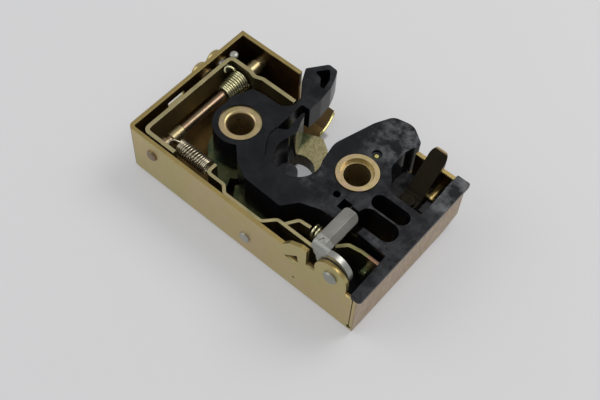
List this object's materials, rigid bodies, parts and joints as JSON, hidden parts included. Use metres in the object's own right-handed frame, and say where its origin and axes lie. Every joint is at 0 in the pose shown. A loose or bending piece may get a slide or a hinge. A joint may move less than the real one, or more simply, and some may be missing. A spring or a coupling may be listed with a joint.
{
  "type": "door latch actuator",
  "caption": "Rotary claw door latch in a folded sheet pan with a moulded guide, claw, pawl, release bracket, lock lever, link, inside lever and springs.",
  "frame": {"origin": "axis of the claw's bush at the underside of the pan's floor", "axes": "+X along the pan towards the lock lever, +Y towards the mouth where the striker comes in, +Z out of the pan's open side"},
  "size_m": [0.1046, 0.0667, 0.0339],
  "materials": {
    "zinc_plate": "yellow passivated zinc on pressed steel, dull, brassy with olive cut edges",
    "bush_plate": "yellow passivated turned steel, satin",
    "steel_pin": "plated rivet and pin steel, satin",
    "hard_steel": "olive passivated thick blanked steel, slightly greased",
    "pad_rubber": "black buffer",
    "black_plastic": "black moulded plastic, fine grain, dusty",
    "lever_plate": "olive passivated sheet levers",
    "paddle_steel": "bare silver grey steel, tumbled",
    "dark_steel": "dark oiled steel strap",
    "gold_pin": "gold coloured turned pin",
    "spring_wire": "drawn spring wire, oiled"
  },
  "bodies": {
    "housing": {"housing_pan": "zinc_plate", "guide_moulding": "black_plastic", "claw_bush": "bush_plate", "pawl_bush": "bush_plate", "release_shaft": "steel_pin", "shaft_sleeve": "steel_pin", "wall_rivet": "steel_pin", "lock_rivet": "steel_pin", "side_rivets": "steel_pin", "corner_strip": "lever_plate", "corner_pin": "steel_pin", "inside_lever_pin": "steel_pin", "stop_pin": "gold_pin", "anchor_pin": "gold_pin", "return_spring": "spring_wire", "claw_spring": "spring_wire", "pawl_spring": "spring_wire", "lock_spring": "spring_wire"},
    "claw": {"claw_plate": "hard_steel", "claw_pad": "pad_rubber"},
    "pawl": {"pawl_plate": "hard_steel", "pawl_pin": "steel_pin"},
    "release": {"release_bracket": "lever_plate", "cable_pin": "steel_pin"},
    "lock": {"lock_lever": "paddle_steel", "lock_pin": "steel_pin"},
    "link": {"link_plate": "lever_plate", "pull_spring": "spring_wire"},
    "handle": {"inside_lever": "dark_steel"}
  },
  "joints": [
    {"name": "claw_turn", "type": "hinge", "parent": "housing", "child": "claw", "pos_m": [0, 0, 0.0065], "axis": [0, 0, 1], "range_deg": [0, 48]},
    {"name": "pawl_turn", "type": "hinge", "parent": "housing", "child": "pawl", "pos_m": [0.0428, 0.0103, 0.0063], "axis": [0, 0, 1], "range_deg": [0, 11.1]},
    {"name": "release_turn", "type": "hinge", "parent": "housing", "child": "release", "pos_m": [-0.017, 0, 0.016], "axis": [0, 1, 0], "range_deg": [0, 12], "stiffness_Nm_per_rad": 0.12, "springref_deg": -11.46},
    {"name": "lock_turn", "type": "hinge", "parent": "housing", "child": "lock", "pos_m": [0.061, -0.023, 0.0253], "axis": [0, 1, 0], "range_deg": [0, 20]},
    {"name": "link_slide", "type": "slide", "parent": "housing", "child": "link", "axis": [1, 0, 0], "range_m": [-0.00314, 0], "deforming": ["pull_spring"]},
    {"name": "handle_turn", "type": "hinge", "parent": "housing", "child": "handle", "pos_m": [0.0605, 0.0156, 0.0185], "axis": [0, 0, 1], "range_deg": [-9, 9], "stiffness_Nm_per_rad": 0.05}
  ],
  "couplings": [
    {"joint": "pawl_turn", "follows": "claw_turn", "ratio": 0.23},
    {"joint": "lock_turn", "follows": "link_slide", "rad_per_m": -111.11}
  ]
}
